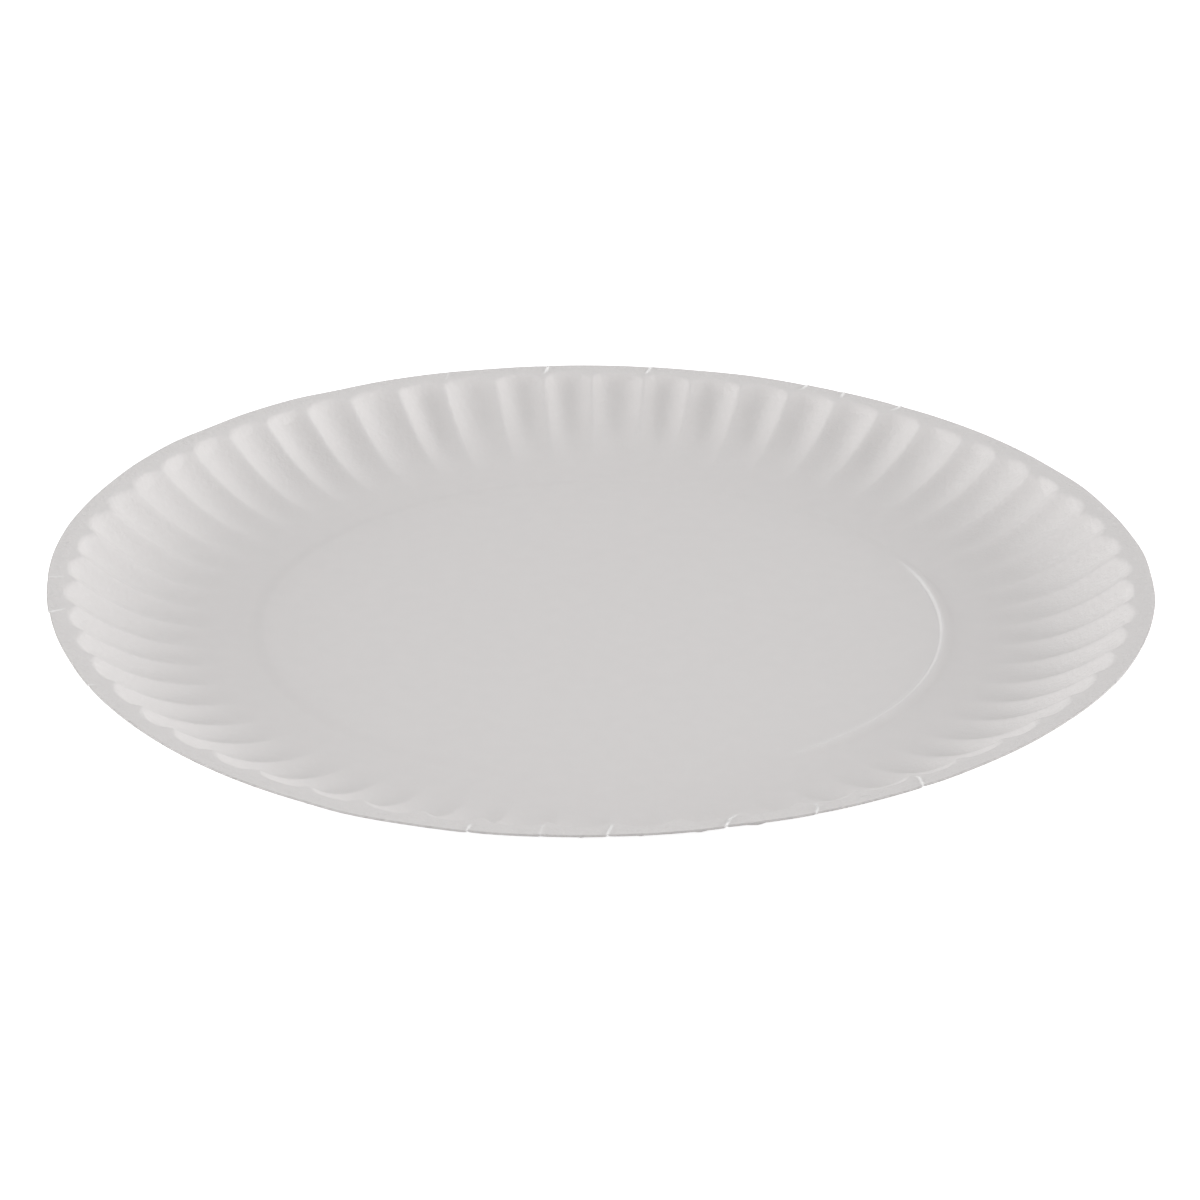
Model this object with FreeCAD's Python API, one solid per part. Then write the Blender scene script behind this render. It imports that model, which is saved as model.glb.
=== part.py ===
import FreeCAD, Part
import math
import os

# Round plate pressed from one disc of plain board. A flat base panel stands a little proud inside a
# foot ring, the wall curves up from the ring, and the board that the pressing gathers in lies in
# flutes that deepen towards a narrow, nearly flat flange. Millimetres, +Z up. The origin is the
# middle of the foot ring's underside, on the table.

# Overall sizes
plate_diameter = 228.6
rim_height = 12.6
board_thickness = 0.35

# Flange round the outside
flange_width = 5.7
flange_rise = 0.6

# Wall from the foot ring to the flange, its run measured along the ground
wall_run = 33.6
wall_power = 2.5

# Foot ring, and the step up to the base panel inside it
foot_ring_width = 2.8
step_width = 0.8
step_height = 0.3

# Flutes: channels sunk below the wall, with a sharp crest between each two
flute_count = 58
flute_depth = 2.1
flute_floor_width = 4.7
flute_reach = 1.9
flute_start = 4.0
flute_end = 0.5
first_crest_bearing = 91.15

# The rim isn't quite flat: it is bent this far above and below its mean height, in two lobes and in three
two_lobe_lift = 1.15
two_lobe_bearing = -30.8
three_lobe_lift = 0.36
three_lobe_bearing = 64.2

# Points along each line up the wall
wall_points = 4

# Radii, heights and angles that follow
rim_radius = plate_diameter / 2
wall_top_radius = rim_radius - flange_width
wall_foot_radius = wall_top_radius - wall_run
step_radius = wall_foot_radius - foot_ring_width
panel_radius = step_radius - step_width
wall_rise = rim_height - flange_rise - board_thickness
flange_slope = math.atan2(flange_rise, flange_width)
pitch = 2 * math.pi / flute_count
half_floor = flute_floor_width / 2 / wall_top_radius


def wall_share(radius):
    return min(max((radius - wall_foot_radius) / wall_run, 0.0), 1.0)


def crest_height(radius):
    """Height of the board's upper face along a crest and out over the flange."""
    wall = wall_rise * wall_share(radius) ** wall_power
    flange = max(radius - wall_top_radius, 0.0) * math.tan(flange_slope)
    return board_thickness + wall + flange


def wall_slope(radius):
    return math.atan(wall_power * wall_rise / wall_run * wall_share(radius) ** (wall_power - 1))


def channel_depth(radius):
    """Depth of a channel below the crests. It eases in above the foot and is full short of the flange."""
    run = wall_run - flute_start - flute_end
    share = min(max((radius - wall_foot_radius - flute_start) / run, 0.0), 1.0)
    return flute_depth * share * share * (3 - 2 * share)


def rim_lift(radius, bearing):
    """How far the plate is bent up or down, from nothing at the foot to the whole lift at the edge."""
    share = max(radius - wall_foot_radius, 0.0) / (rim_radius - wall_foot_radius)
    two = two_lobe_lift * math.cos(2 * (bearing - math.radians(two_lobe_bearing)))
    three = three_lobe_lift * math.cos(3 * (bearing - math.radians(three_lobe_bearing)))
    return share ** 2 * (two + three)


def point(radius, bearing, depth, under, slope):
    """A point of the board's upper face, or of its lower face when under is the thickness."""
    height = crest_height(radius) - depth + rim_lift(radius, bearing) - under * math.cos(slope)
    out = radius + under * math.sin(slope)
    return FreeCAD.Vector(out * math.cos(bearing), out * math.sin(bearing), height)


def shoulder_slope():
    """Half-way between the wall's slope and the flange's, for the bend where they meet."""
    return (wall_slope(wall_top_radius) + flange_slope) / 2


def shoulder(bearing, share, under):
    """The flange's inner edge, which arches round a channel's end. The share is 0 at one crest and 1 at the next."""
    radius = wall_top_radius + flute_reach * math.sqrt(max(math.sin(math.pi * share), 0.0))
    return point(radius, bearing, 0.0, under, shoulder_slope())


def rim(bearing, under):
    return point(rim_radius, bearing, 0.0, under / math.cos(flange_slope), 0.0)


def wall_line(bearing, sunk, under):
    """A curve up the wall, along a crest or along one side of a channel's floor."""
    points = []
    for i in range(wall_points - 1):
        radius = wall_foot_radius + wall_run * i / (wall_points - 1)
        depth = channel_depth(radius) if sunk else 0.0
        points.append(point(radius, bearing, depth, under, wall_slope(radius)))
    if sunk:
        points.append(point(wall_top_radius, bearing, flute_depth, under, wall_slope(wall_top_radius)))
    else:
        points.append(shoulder(bearing, 0.0, under))
    level = FreeCAD.Vector(math.cos(bearing), math.sin(bearing), 0)
    steep = level * math.cos(wall_slope(wall_top_radius)) + FreeCAD.Vector(0, 0, math.sin(wall_slope(wall_top_radius)))
    curve = Part.BSplineCurve()
    curve.interpolate(Points=points, InitialTangent=level, FinalTangent=steep)
    return curve.toShape()


def flat(*corners):
    return Part.Face(Part.makePolygon(list(corners) + [corners[0]]))


def flat_pair(a, b, c, d):
    """Two triangles, for four corners that aren't quite in one plane."""
    return [flat(a, b, c), flat(a, c, d)]


def flute_bearings(crest):
    """Round one flute: a crest, a point of the arch, both sides of the floor, a point of the arch, the next crest."""
    left = crest + pitch / 2 - half_floor
    right = crest + pitch / 2 + half_floor
    after = crest + pitch
    return [crest, (crest + left) / 2, left, right, (right + after) / 2, after]


def flute_faces(crest, under):
    """One flute of one face of the board, from the foot ring to the outer edge."""
    bearings = flute_bearings(crest)
    start, _, left, right, _, after = bearings
    lines = [wall_line(start, False, under), wall_line(left, True, under)]
    lines += [wall_line(right, True, under), wall_line(after, False, under)]
    strips = [Part.makeRuledSurface(a, b) for a, b in zip(lines, lines[1:])]

    arch = [shoulder(bearing, (bearing - crest) / pitch, under) for bearing in bearings]
    floor_left, floor_right = [line.valueAt(line.LastParameter) for line in lines[1:3]]
    ends = [flat(floor_left, arch[0], arch[1]), flat(floor_left, arch[1], arch[2])]
    ends += flat_pair(floor_left, arch[2], arch[3], floor_right)
    ends += [flat(floor_right, arch[3], arch[4]), flat(floor_right, arch[4], arch[5])]

    edge = [rim(bearing, under) for bearing in bearings]
    flange = []
    for i in range(len(bearings) - 1):
        flange += flat_pair(arch[i], edge[i], edge[i + 1], arch[i + 1])
    return strips + ends + flange


def cut_edge_faces(crest):
    """The board's own cut edge beside one flute."""
    faces = []
    bearings = flute_bearings(crest)
    for start, end in zip(bearings, bearings[1:]):
        faces.append(flat(rim(start, 0.0), rim(end, 0.0), rim(end, board_thickness), rim(start, board_thickness)))
    return faces


def disc(radius, height):
    return Part.Wire(Part.makeCircle(radius, FreeCAD.Vector(0, 0, height)))


def base_faces(crests, under):
    """The foot ring, the step and the base panel of one face of the board."""
    low = board_thickness - under
    foot = []
    for crest in crests:
        start, _, left, right, _, _ = flute_bearings(crest)
        foot += [point(wall_foot_radius, bearing, 0.0, under, 0.0) for bearing in (start, left, right)]
    hole = disc(step_radius, low)
    hole.reverse()
    ring = Part.Face([Part.makePolygon(foot + [foot[0]]), hole])
    slant = Part.makeLine(FreeCAD.Vector(step_radius, 0, low), FreeCAD.Vector(panel_radius, 0, low + step_height))
    step = slant.revolve(FreeCAD.Vector(0, 0, 0), FreeCAD.Vector(0, 0, 1), 360)
    return [ring, step, Part.Face(disc(panel_radius, low + step_height))]


def paper_plate():
    crests = [math.radians(first_crest_bearing) + i * pitch for i in range(flute_count)]
    faces = []
    for under in (0.0, board_thickness):
        faces += base_faces(crests, under)
        for crest in crests:
            faces += flute_faces(crest, under)
    for crest in crests:
        faces += cut_edge_faces(crest)
    shell = Part.makeShell(faces)
    shell.sewShape()
    solid = Part.Solid(shell)
    if solid.Volume < 0:
        solid.reverse()
    return solid


os.makedirs("parts", exist_ok=True)
paper_plate().exportStep("parts/paper_plate.step")
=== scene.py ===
import math
import random

import bpy
import numpy as np
from mathutils import Matrix, Vector


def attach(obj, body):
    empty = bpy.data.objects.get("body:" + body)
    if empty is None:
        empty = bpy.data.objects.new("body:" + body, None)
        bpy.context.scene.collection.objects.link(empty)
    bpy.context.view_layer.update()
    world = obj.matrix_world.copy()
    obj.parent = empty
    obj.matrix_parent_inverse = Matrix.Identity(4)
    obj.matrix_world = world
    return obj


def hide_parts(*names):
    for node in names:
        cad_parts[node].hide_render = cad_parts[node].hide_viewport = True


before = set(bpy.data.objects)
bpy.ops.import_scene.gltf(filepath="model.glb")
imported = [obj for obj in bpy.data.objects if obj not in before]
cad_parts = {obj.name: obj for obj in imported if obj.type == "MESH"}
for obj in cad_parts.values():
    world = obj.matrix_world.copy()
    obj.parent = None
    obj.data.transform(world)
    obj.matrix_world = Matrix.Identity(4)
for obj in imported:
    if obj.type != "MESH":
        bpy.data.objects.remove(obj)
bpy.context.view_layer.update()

# Sizes of the plate in millimetres and bearings in degrees anticlockwise from +X, as in the part's source.
# The mesh is scaled to metres once
MM = 0.001
plate_diameter = 228.6
rim_height = 12.6
board_thickness = 0.35
flange_width = 5.7
flange_rise = 0.6
wall_run = 33.6
wall_power = 2.5
foot_ring_width = 2.8
step_width = 0.8
step_height = 0.3
flute_count = 58
flute_depth = 2.1
flute_reach = 1.9
flute_start = 4.0
flute_end = 0.5
first_crest_bearing = 91.15
two_lobe_lift = 1.15
two_lobe_bearing = -30.8
three_lobe_lift = 0.36
three_lobe_bearing = 64.2

# Softness of the pressing: how round a crest is, how round the bend from the wall to the flange is, and the
# power that shapes the arch of a channel's end
crest_roundness = 0.15
shoulder_softness = 0.60
arch_fullness = 0.5

# The least sine and the least reach that the arch's formulas work with, so that they never divide by zero
# or take a root of less than zero
least_sine = 1e-6
least_reach = 0.05

# How much one flute differs from the next: as shares of its depth, of its reach and of a flute's width for
# its crest's place, and in millimetres for the flange's height at its crest
uneven_seed = 9
depth_spread = 0.10
reach_spread = 0.16
crest_wander = 0.030
flange_ripple = 0.05

# Pleats: where the gathered board is creased across the flange. Each has its crest, how far it lies past
# that crest at the flange's middle (mm), its slant (degrees), its length in from the rim (mm) and its
# strength
pleat_marks = (
    (1, -1.1, -17, 4.4, 1.2),
    (3, -1.5, -25, 4.0, 0.5),
    (15, -1.0, 20, 3.6, 0.5),
    (16, 2.4, 28, 3.6, 1.0),
    (19, 0.3, -10, 2.0, 0.5),
    (27, -1.7, 0, 2.8, 0.9),
    (28, -0.6, 0, 4.8, 0.4),
    (29, -0.2, -13, 4.6, 0.9),
    (31, -2.6, -25, 4.8, 1.3),
    (32, 2.4, -27, 4.4, 0.9),
    (34, 0.0, -27, 4.8, 1.0),
    (52, -1.8, -10, 3.7, 1.3),
    (53, 0.0, 14, 3.4, 1.1),
    (54, -2.1, -8, 3.8, 1.3),
    (57, -0.9, -12, 4.0, 1.2),
)

# A pleat's ridge: its height, its half width and the run over which it fades in at its inner end. Over the
# first part of the flange it comes away from its crest's bearing
pleat_height = 0.20
pleat_width = 0.24
pleat_fade = 1.0
lean_start = 3.0

# Beside each pleat the cut outline is notched: the notch's depth, and its run and ramp as shares of a
# flute's width. Elsewhere the outline wanders in and out by a little
pleat_notch = 0.25
pleat_notch_run = 0.22
pleat_notch_ramp = 0.04
outline_wander = 0.26

# The step round the base panel is this much wider on each side than in the part's source
step_spread = 1.5

# Crease at that step, pressed up into a low bead on the right only: the radius of its top, its height, its
# run inside and outside the top, how much painted highlight lies along it on the lit right side, and the
# bearings that it lies between, with the degrees over which it fades in at each
crease_radius = 71.6
crease_height = 0.50
crease_rise = 0.85
crease_fall = 2.4
crease_highlight = 0.30
crease_bearings = (-62, 28)
crease_ends = 13

# The sheared edge rolls over a little. A darker tone, painted shade for a dark outline round the rim, lies on
# the cut edge and covers the outermost part of the upper face too
edge_roll = 0.10
edge_roll_width = 0.30
painted_shade_edge_width = 0.20

# Numbers of vertices round the plate: near the base, up the wall and across the flange. On the lower face
# they are divided by the last number
base_columns = 8 * flute_count
wall_columns = 16 * flute_count
flange_columns = 32 * flute_count
lower_face_thinning = 2

# Shares of a flute's width: how much columns of vertices crowd towards the crests, and how far from its
# crest a pleat leans them
column_crowding = 0.11
lean_span = 0.5

# Where rings of vertices lie closer: inside and outside the crease's top, and inside and outside the wall's
# top. Up to this far past the flutes' start, a ring has as few vertices as near the base
bead_inside = 0.95
bead_outside = 0.10
bend_inside = 2.4
bend_outside = 1.2
low_wall_past = 2

# Rings follow the arches of the channels' ends. They start to bend this far short of the wall's top, over
# this run, and are round again at the rim after this fade
arch_lead = 12
arch_lead_run = 9.6
arch_fade = 5.2

# Rings this near the rim keep the height of their own radius where the outline is notched
level_edge_width = 0.4

# The upper face's slopes are taken over this distance to each side
slope_reach = 0.3

# Tones of the board, darker and lighter, on its faces and on its cut edge, the cut edge's darker as painted
# shade, and the near white of the painted highlight along the pleats and the crease bead
face_tones = ((0.723, 0.703, 0.697, 1), (0.748, 0.727, 0.720, 1))
edge_painted_shade_tones = ((0.61, 0.590, 0.582, 1), (0.65, 0.630, 0.622, 1))
painted_highlight_tone = (0.93, 0.925, 0.92, 1)

# Order of the plate's two materials
face_material = 0
edge_material = 1

# Finish of the board, the strength of the bump on its faces and on its cut edge, and the height in metres
# that a bump stands for
board_roughness = 0.8
board_specular = 0.3
face_bump = 0.5
edge_bump = 0.8
bump_height = 0.00004

# Scale, in cells per metre, and detail of the noise in the tones, in the board's tooth and in its fibres
mottle_noise = (260.0, 3.0)
tooth_noise = (2600.0, 2.0)
fibre_noise = (850.0, 2.0)

# Height of the fibres that the pressing raises on the wall, as a multiple of the tooth's, and how much
# more of them the flange has
fibre_height = 8.0
flange_roughness = 1.6

# Colour of the room's light, and of the floor's glow
white = (1, 1, 1, 1)

# Floor: its width and its depth below the plate's foot in metres, its tone and roughness, and the glow
# that brings it to white where it is seen
floor_size = 6.0
floor_drop = 0.0002
floor_tone = (0.8, 0.8, 0.8, 1)
floor_roughness = 0.9
floor_glow = 0.85

# Even light of the room on the object, and its brightness where it is seen
room_light = 0.4
room_seen = 1.0

# Soft square lamps round the plate, all of one size and as far away, in metres. Each has its name, its
# bearing clockwise from behind the plate, its elevation and its power
lamp_size = 0.75
lamp_distance = 1.6
lamps = (
    ("lamp_right", 90, 14, 9.6),
    ("lamp_right_back", 75, 14, 7.5),
    ("lamp_left", 266, 14, 6.3),
    ("lamp_left_back", 285, 14, 5.7),
    ("lamp_front_low", 210, 14, 2.7),
    ("lamp_front_side", 210, 55, 3.6),
    ("lamp_front_high", 180, 55, 1.8),
)

# Camera: it looks along +Y and down at the middle of the rim, and is turned a little from there by the last
# three angles. Angles are in degrees, the distance is in metres, and the lens and sensor are in millimetres
camera_elevation = 24.80
camera_distance = 0.7738
camera_lens = 111.44
camera_sensor = 36.0
camera_turn = -0.011
camera_tilt = -0.518
camera_roll = 0.336

# Radii, heights and slopes that follow
rim_radius = plate_diameter / 2
wall_top_radius = rim_radius - flange_width
wall_foot_radius = wall_top_radius - wall_run
step_radius = wall_foot_radius - foot_ring_width
panel_radius = step_radius - step_width
wall_rise = rim_height - flange_rise - board_thickness
wall_top_slope = wall_power * wall_rise / wall_run
flange_slope = flange_rise / flange_width
flute_pitch = 2 * math.pi / flute_count

flute_random = random.Random(uneven_seed)


def uneven(spread):
    """One small difference for each flute, between minus the spread and plus the spread."""
    return np.array([flute_random.uniform(-spread, spread) for _ in range(flute_count)])


# The differences from flute to flute come from one seed, in this order
flute_depths = 1 + uneven(depth_spread)
flute_reaches = 1 + uneven(reach_spread)
crest_shifts = uneven(crest_wander)
crest_ripples = uneven(flange_ripple)
outline_steps = uneven(outline_wander)


def smoothstep(share):
    share = np.clip(share, 0.0, 1.0)
    return share * share * (3 - 2 * share)


def soft_minimum(a, b, softness):
    """The lower of two heights, with the corner between them rounded."""
    share = np.clip(0.5 + 0.5 * (b - a) / softness, 0.0, 1.0)
    return b * (1 - share) + a * share - softness * share * (1 - share)


def from_crests(values, turn):
    """Values given at the crests, eased from each crest to the next."""
    low = np.floor(turn).astype(int)
    share = smoothstep(turn - low)
    return values[low % flute_count] * (1 - share) + values[(low + 1) % flute_count] * share


def from_flutes(values, turn):
    """Values given to whole flutes, eased to their mean at the crests between them."""
    return from_crests(values, turn - 0.5)


def crest_turn(bearing):
    """How many flutes a bearing lies past the first crest, with each crest a little off its place."""
    turn = (bearing - math.radians(first_crest_bearing)) * flute_count / (2 * math.pi)
    return turn - from_crests(crest_shifts, turn)


def groove(share):
    """A channel's cross-section: 0 at the crests beside it and 1 in its middle, round at both."""
    wave = np.sin(np.pi * share)
    rounding = crest_roundness * crest_roundness
    return (np.sqrt(wave * wave + rounding) - crest_roundness) / (math.sqrt(1 + rounding) - crest_roundness)


def arch(turn):
    """How far past the wall's top each channel's end reaches into the flange."""
    share = turn - np.floor(turn)
    fullness = np.power(np.clip(np.sin(np.pi * share), least_sine, 1.0), arch_fullness)
    return flute_reach * from_flutes(flute_reaches, turn) * fullness


def rim_lift(radius, bearing):
    """How far the plate is bent up or down, from nothing at the foot to the whole lift at the edge."""
    share = np.clip(radius - wall_foot_radius, 0.0, None) / (rim_radius - wall_foot_radius)
    two = two_lobe_lift * np.cos(2 * (bearing - math.radians(two_lobe_bearing)))
    three = three_lobe_lift * np.cos(3 * (bearing - math.radians(three_lobe_bearing)))
    return share ** 2 * (two + three)


def past_crest(bearing, crest):
    """The angle from a crest to a bearing, between minus pi and pi."""
    middle = math.radians(first_crest_bearing + crest * 360 / flute_count)
    return np.remainder(bearing - middle + math.pi, 2 * math.pi) - math.pi


def pleat_lean(radius, offset, slant):
    """How far a pleat lies past its crest's own bearing, in millimetres."""
    beyond = radius - wall_top_radius
    slanted = offset + math.tan(math.radians(slant)) * (beyond - flange_width / 2)
    return slanted * smoothstep(beyond / lean_start)


def pleats(radius, bearing):
    """How much of a pleat's ridge there is: its strength along the middle of each, and 0 between them."""
    ridges = np.zeros_like(radius)
    for crest, offset, slant, length, strength in pleat_marks:
        off = past_crest(bearing, crest) * radius - pleat_lean(radius, offset, slant)
        along = smoothstep((radius - rim_radius + length) / pleat_fade)
        ridges += strength * along * np.exp(-np.square(off / pleat_width))
    return ridges


def crease_share(bearing):
    """How much of the crease beside the base panel there is: 1 on the right and 0 elsewhere."""
    degrees = np.degrees(np.remainder(bearing + math.pi, 2 * math.pi) - math.pi)
    first, last = crease_bearings
    return smoothstep((degrees - first) / crease_ends) * smoothstep((last - degrees) / crease_ends)


def crease(radius, bearing):
    """The low bead beside the base panel, steep inside and gentle outside."""
    rise = smoothstep((radius - crease_radius + crease_rise) / crease_rise)
    fall = smoothstep((crease_radius + crease_fall - radius) / crease_fall)
    return crease_height * crease_share(bearing) * rise * fall


def base_height(radius, bearing):
    """Height of the base panel above the foot ring, down its softened step, with the crease."""
    down = smoothstep((radius - panel_radius + step_spread) / (step_width + 2 * step_spread))
    return step_height * (1 - down) + crease(radius, bearing)


def edge_drop(radius):
    """How far the sheared edge has rolled down."""
    share = np.clip((radius - rim_radius + edge_roll_width) / edge_roll_width, 0.0, 1.0)
    return edge_roll * np.square(share)


def fluted_height(radius, bearing):
    """Height of the wall's channels and of the flange, with a round bend where they meet."""
    turn = crest_turn(bearing)
    beyond = radius - wall_top_radius
    climb = np.clip((radius - wall_foot_radius) / wall_run, 0.0, 1.0)
    wall = wall_rise * climb ** wall_power
    deepest = flute_depth * from_flutes(flute_depths, turn) * groove(turn - np.floor(turn))
    eased = smoothstep((radius - wall_foot_radius - flute_start) / (wall_run - flute_start - flute_end))
    end_slope = np.maximum(deepest / np.maximum(arch(turn), least_reach) + flange_slope, wall_top_slope)
    channel = wall - deepest * eased + np.clip(beyond, 0.0, None) * end_slope
    ripple = from_crests(crest_ripples, turn) * smoothstep(beyond / flange_width)
    flange = wall_rise + beyond * flange_slope + ripple
    return soft_minimum(channel, flange, shoulder_softness)


def upper_height(radius, bearing):
    """Height of the board's upper face."""
    height = board_thickness + fluted_height(radius, bearing) + base_height(radius, bearing)
    height = height + pleat_height * pleats(radius, bearing) - edge_drop(radius)
    return height + rim_lift(radius, bearing)


def upper_normal(radius, bearing):
    """Direction straight out of the upper face, from its slopes along and across the radius."""
    run = 2 * slope_reach
    turned = slope_reach / radius
    along = (upper_height(radius + slope_reach, bearing) - upper_height(radius - slope_reach, bearing)) / run
    across = (upper_height(radius, bearing + turned) - upper_height(radius, bearing - turned)) / run
    x = -(along * np.cos(bearing) - across * np.sin(bearing))
    y = -(along * np.sin(bearing) + across * np.cos(bearing))
    length = np.sqrt(x * x + y * y + 1)
    return np.stack([x / length, y / length, 1 / length], axis=-1)


def row_plan():
    """Every ring of vertices from the panel outwards: its radius where nothing arches, and its vertices."""
    # Panel, crease, step, foot ring, foot of the wall, wall, bend, flange and edge, each with the radius
    # where it ends, its number of rings and the vertices in each
    zones = (
        (crease_radius - bead_inside, 2, base_columns),
        (crease_radius + bead_outside, 5, base_columns),
        (step_radius + step_spread, 5, base_columns),
        (wall_foot_radius, 2, base_columns),
        (wall_foot_radius + flute_start + low_wall_past, 5, base_columns),
        (wall_top_radius - bend_inside, 17, wall_columns),
        (wall_top_radius + bend_outside, 12, flange_columns),
        (rim_radius - edge_roll_width, 6, flange_columns),
        (rim_radius, 3, flange_columns),
    )
    start = panel_radius - step_spread
    plan = [(start, base_columns)]
    for end, count, columns in zones:
        plan += [(start + (end - start) * (i + 1) / count, columns) for i in range(count)]
        start = end
    return plan


def rim_notch(bearing):
    """How much the outline draws in: beside each pleat, on one side of it, and a little everywhere."""
    drawn = from_crests(outline_steps, crest_turn(bearing))
    for crest, offset, slant, _, strength in pleat_marks:
        off = (past_crest(bearing, crest) - pleat_lean(rim_radius, offset, slant) / rim_radius) / flute_pitch
        beside = smoothstep(off / pleat_notch_ramp + 0.5) * np.exp(-np.clip(off, 0.0, None) / pleat_notch_run)
        drawn += beside * pleat_notch * strength
    return drawn


def lean_columns(radius, bearing):
    """Columns of vertices beside a pleat run along it, so that its narrow ridge lies between close ones."""
    leant = bearing.copy()
    for crest, offset, slant, _, _ in pleat_marks:
        apart = past_crest(bearing, crest) * flute_count / (2 * math.pi)
        weight = np.square(np.clip(1 - np.square(apart / lean_span), 0.0, 1.0))
        leant += pleat_lean(radius, offset, slant) / radius * weight
    return leant


def ring_points(radius, columns, thin):
    """One ring of the board's upper face, or of its lower face when thin is the board's thickness."""
    even = np.arange(columns) / (columns // flute_count)
    crowd = column_crowding * np.sin(2 * np.pi * even)
    bearing = math.radians(first_crest_bearing) + (even - crowd) * 2 * math.pi / flute_count
    if radius > wall_top_radius:
        bearing = lean_columns(radius, bearing)
    beyond = radius - wall_top_radius
    shift = smoothstep((beyond + arch_lead) / arch_lead_run) * smoothstep((rim_radius - radius) / arch_fade)
    drawn = rim_notch(bearing) * smoothstep((beyond - bend_outside) / (flange_width - bend_outside))
    radii = radius + shift * arch(crest_turn(bearing)) - drawn
    at_edge = radius > rim_radius - level_edge_width
    height = upper_height(np.full_like(radii, radius) if at_edge else radii, bearing)
    points = np.stack([radii * np.cos(bearing), radii * np.sin(bearing), height], axis=-1)
    if thin:
        points -= thin * upper_normal(np.minimum(radii, rim_radius - edge_roll_width), bearing)
    return points


def join_rings(inner, outer, outward):
    """Faces between two rings of vertex numbers, where the outer one has as many or a whole multiple."""
    faces = []
    step = len(outer) // len(inner)
    for i in range(len(inner)):
        near = [inner[(i + 1) % len(inner)], inner[i]]
        far = [outer[(i * step + k) % len(outer)] for k in range(step + 1)]
        face = near + far
        faces.append(face if outward else face[::-1])
    return faces


def mark_highlight_and_roughness(mesh, points):
    """Store for the material how much painted highlight each point carries, and how rough the pressing has
    left it.
    """
    radius = np.hypot(points[:, 0], points[:, 1])
    bearing = np.arctan2(points[:, 1], points[:, 0])
    along_crease = np.exp(-np.square((radius - crease_radius + crease_rise / 2) / crease_rise))
    # Painted highlight: a lighter tone along the pleats and, on the lit right side only, along the crease
    # bead
    painted_highlight = pleats(radius, bearing) + crease_highlight * crease_share(bearing) * along_crease
    pressed = smoothstep((radius - wall_foot_radius) / wall_run)
    pressed += flange_roughness * smoothstep((radius - wall_top_radius - flute_reach) / flute_reach)
    for name, values in (("painted_highlight", np.clip(painted_highlight, 0.0, 1.0)), ("pressed", pressed)):
        mesh.attributes.new(name, "FLOAT", "POINT").data.foreach_set("value", values)


def plate_mesh():
    """The whole sheet: upper face, lower face and the cut edge between them."""
    points, faces, rims, painted_shade_faces = [], [], [], []
    for thin, thinning in ((0.0, 1), (board_thickness, lower_face_thinning)):
        upper = thin == 0.0
        last = None
        for radius, columns in row_plan():
            columns //= thinning
            start = sum(len(ring) for ring in points)
            points.append(ring_points(radius, columns, thin))
            ring = list(range(start, start + columns))
            if last is None:
                faces.append(ring if upper else ring[::-1])
            else:
                faces += join_rings(last, ring, upper)
            # Faces of the upper face's outermost band take the cut edge's darker tone: painted shade along
            # the rim's outline
            painted_shade_faces += [upper and radius > rim_radius - painted_shade_edge_width] * (len(faces) - len(painted_shade_faces))
            last = ring
        rims.append(last)
    edge_start = len(faces)
    faces += join_rings(rims[1], rims[0], False)
    points = np.concatenate(points)
    mesh = bpy.data.meshes.new("paper_sheet")
    mesh.from_pydata((points * MM).tolist(), [], faces)
    mesh.update()
    mark_highlight_and_roughness(mesh, points)
    for polygon in mesh.polygons:
        polygon.use_smooth = polygon.index < edge_start
        pale = polygon.use_smooth and not painted_shade_faces[polygon.index]
        polygon.material_index = face_material if pale else edge_material
    return mesh


def new_material(name):
    material = bpy.data.materials.new(name)
    material.use_nodes = True
    return material


def feed(tree, socket, value):
    """Give a socket another node's output, or a plain number or colour."""
    if isinstance(value, bpy.types.NodeSocket):
        tree.links.new(value, socket)
    else:
        socket.default_value = value


def calculate(tree, operation, *values):
    """What a Math node makes of numbers or other nodes' outputs."""
    node = tree.nodes.new("ShaderNodeMath")
    node.operation = operation
    for socket, value in zip(node.inputs, values):
        feed(tree, socket, value)
    return node.outputs[0]


def mix(tree, kind, share, first, second):
    """The first value where the share is 0 and the second where it is 1. The kind is FLOAT or RGBA."""
    node = tree.nodes.new("ShaderNodeMix")
    node.data_type = kind
    feed(tree, node.inputs["Factor"], share)
    feed(tree, node.inputs["A"], first)
    feed(tree, node.inputs["B"], second)
    return node.outputs["Result"]


def noise(tree, place, scale, detail):
    node = tree.nodes.new("ShaderNodeTexNoise")
    node.inputs["Scale"].default_value = scale
    node.inputs["Detail"].default_value = detail
    tree.links.new(place, node.inputs["Vector"])
    return node.outputs["Fac"]


def stored(tree, name):
    """A value that the mesh stores at its points."""
    node = tree.nodes.new("ShaderNodeAttribute")
    node.attribute_name = name
    return node.outputs["Fac"]


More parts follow.
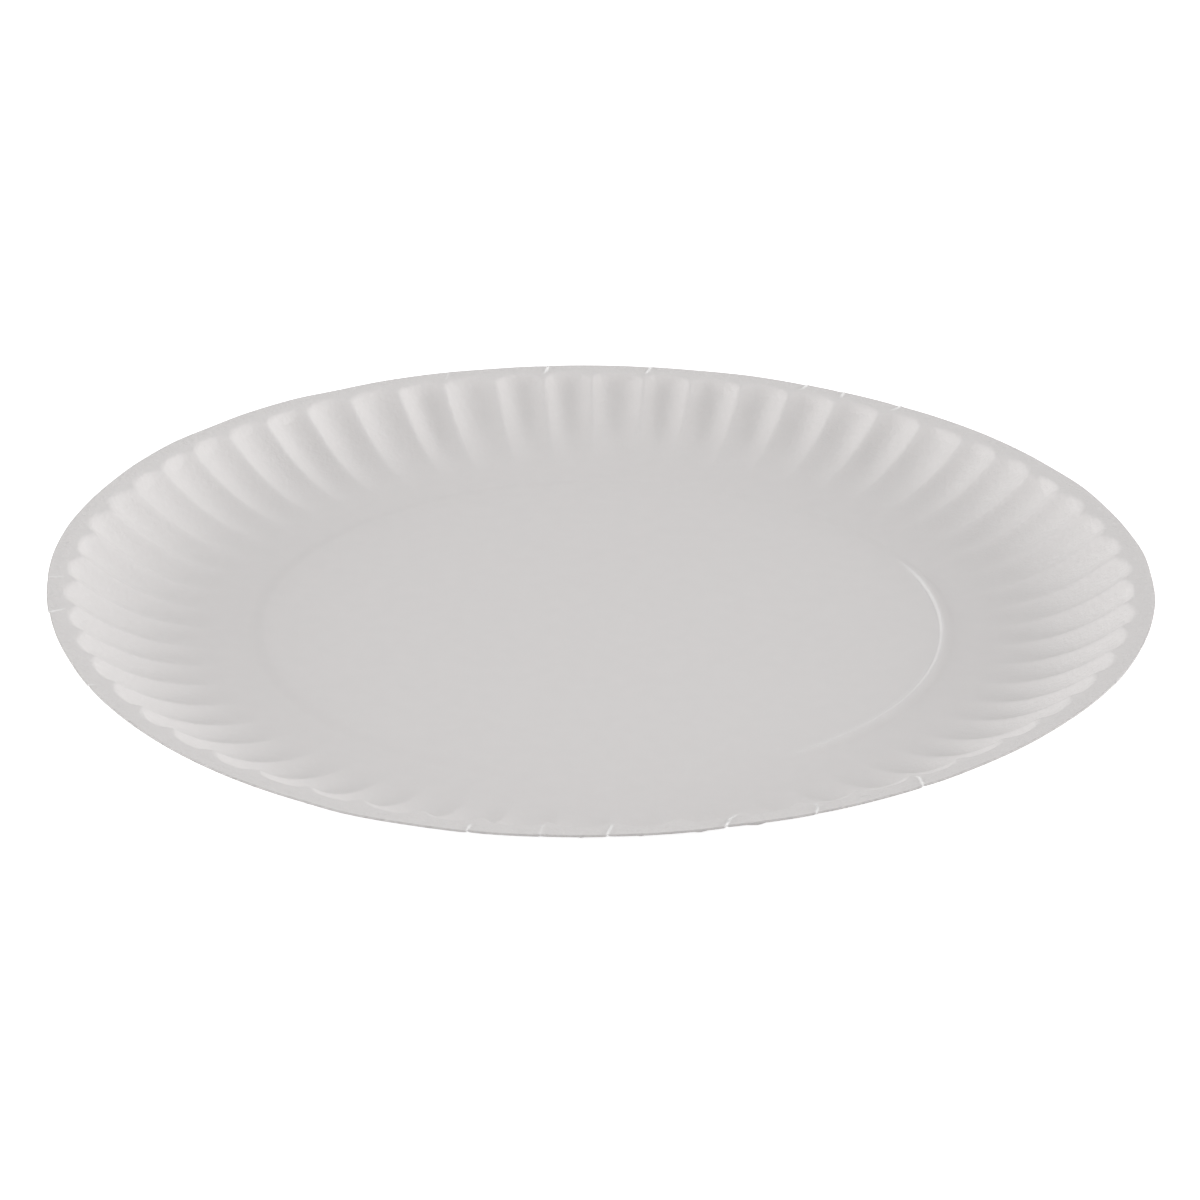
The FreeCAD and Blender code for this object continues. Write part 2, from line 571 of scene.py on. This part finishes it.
def paper_material(name, tones, bump_strength):
    """Uncoated paper board: a faint mottle, a painted highlight along pleats and the crease bead, a fine
    tooth and rougher fibres.
    """
    material = new_material(name)
    tree = material.node_tree
    shader = tree.nodes["Principled BSDF"]
    shader.inputs["Roughness"].default_value = board_roughness
    shader.inputs["Specular IOR Level"].default_value = board_specular
    place = tree.nodes.new("ShaderNodeTexCoord").outputs["Object"]

    mottled = mix(tree, "RGBA", noise(tree, place, *mottle_noise), *tones)
    # Painted highlight: the tone lightens towards near white where the mesh stores it
    highlighted = mix(tree, "RGBA", stored(tree, "painted_highlight"), mottled, painted_highlight_tone)
    tree.links.new(highlighted, shader.inputs["Base Color"])

    tooth = noise(tree, place, *tooth_noise)
    fibres = calculate(tree, "MULTIPLY", noise(tree, place, *fibre_noise), stored(tree, "pressed"))
    bump = tree.nodes.new("ShaderNodeBump")
    bump.inputs["Strength"].default_value = bump_strength
    bump.inputs["Distance"].default_value = bump_height
    tree.links.new(calculate(tree, "MULTIPLY_ADD", fibres, fibre_height, tooth), bump.inputs["Height"])
    tree.links.new(bump.outputs["Normal"], shader.inputs["Normal"])
    return material


def add_object(name, data):
    added = bpy.data.objects.new(name, data)
    bpy.context.scene.collection.objects.link(added)
    return added


def build_plate():
    plate = add_object("pressed_plate", plate_mesh())
    plate.data.materials.append(paper_material("paper_face", face_tones, face_bump))
    # The cut edge material's darker tone is painted shade along the rim's outline
    plate.data.materials.append(paper_material("paper_cut_edge_painted_shade", edge_painted_shade_tones, edge_bump))
    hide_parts("paper_plate")
    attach(plate, "root")


def seen_directly(tree):
    """1 for rays from the camera, from a mirror or through glass, and 0 for light on the object."""
    rays = tree.nodes.new("ShaderNodeLightPath").outputs
    seen = calculate(tree, "MAXIMUM", rays["Is Camera Ray"], rays["Is Glossy Ray"])
    return calculate(tree, "MAXIMUM", seen, rays["Is Transmission Ray"])


def build_floor():
    """A plain pale floor. What shows of it is white but for the plate's soft shadow."""
    half = floor_size / 2
    corners = [(-half, -half, 0), (half, -half, 0), (half, half, 0), (-half, half, 0)]
    mesh = bpy.data.meshes.new("floor_sheet")
    mesh.from_pydata(corners, [], [(0, 1, 2, 3)])
    floor = add_object("floor", mesh)
    floor.location.z = -floor_drop
    material = new_material("floor_paper")
    tree = material.node_tree
    shader = tree.nodes["Principled BSDF"]
    shader.inputs["Base Color"].default_value = floor_tone
    shader.inputs["Roughness"].default_value = floor_roughness
    shader.inputs["Emission Color"].default_value = white
    glow = calculate(tree, "MULTIPLY", seen_directly(tree), floor_glow)
    tree.links.new(glow, shader.inputs["Emission Strength"])
    mesh.materials.append(material)


def build_world():
    """Even room light, with a plain white background where it is seen."""
    world = bpy.data.worlds.new("studio")
    bpy.context.scene.world = world
    world.use_nodes = True
    tree = world.node_tree
    background = tree.nodes["Background"]
    background.inputs["Color"].default_value = white
    strength = mix(tree, "FLOAT", seen_directly(tree), room_light, room_seen)
    tree.links.new(strength, background.inputs["Strength"])


def build_lamps():
    for name, bearing, elevation, power in lamps:
        light = bpy.data.lights.new(name, "AREA")
        light.shape = "SQUARE"
        light.size = lamp_size
        light.energy = power
        lamp = add_object(name, light)
        around, up = math.radians(bearing), math.radians(elevation)
        away = Vector((math.sin(around) * math.cos(up), math.cos(around) * math.cos(up), math.sin(up)))
        lamp.location = away * lamp_distance
        lamp.rotation_euler = away.to_track_quat("Z", "Y").to_euler()


def build_camera():
    data = bpy.data.cameras.new("camera")
    data.lens = camera_lens
    data.sensor_width = camera_sensor
    camera = add_object("camera", data)
    elevation = math.radians(camera_elevation)
    place = Vector((0, -math.cos(elevation), math.sin(elevation))) * camera_distance
    place.z += rim_height * MM
    turn = Matrix.Rotation(math.pi / 2 - elevation, 4, "X")
    turn = turn @ Matrix.Rotation(-math.radians(camera_turn), 4, "Y")
    turn = turn @ Matrix.Rotation(math.radians(camera_tilt), 4, "X")
    turn = turn @ Matrix.Rotation(math.radians(camera_roll), 4, "Z")
    camera.matrix_world = Matrix.Translation(place) @ turn
    bpy.context.scene.camera = camera


build_plate()
build_floor()
build_world()
build_lamps()
build_camera()
bpy.context.scene.view_settings.view_transform = "Standard"
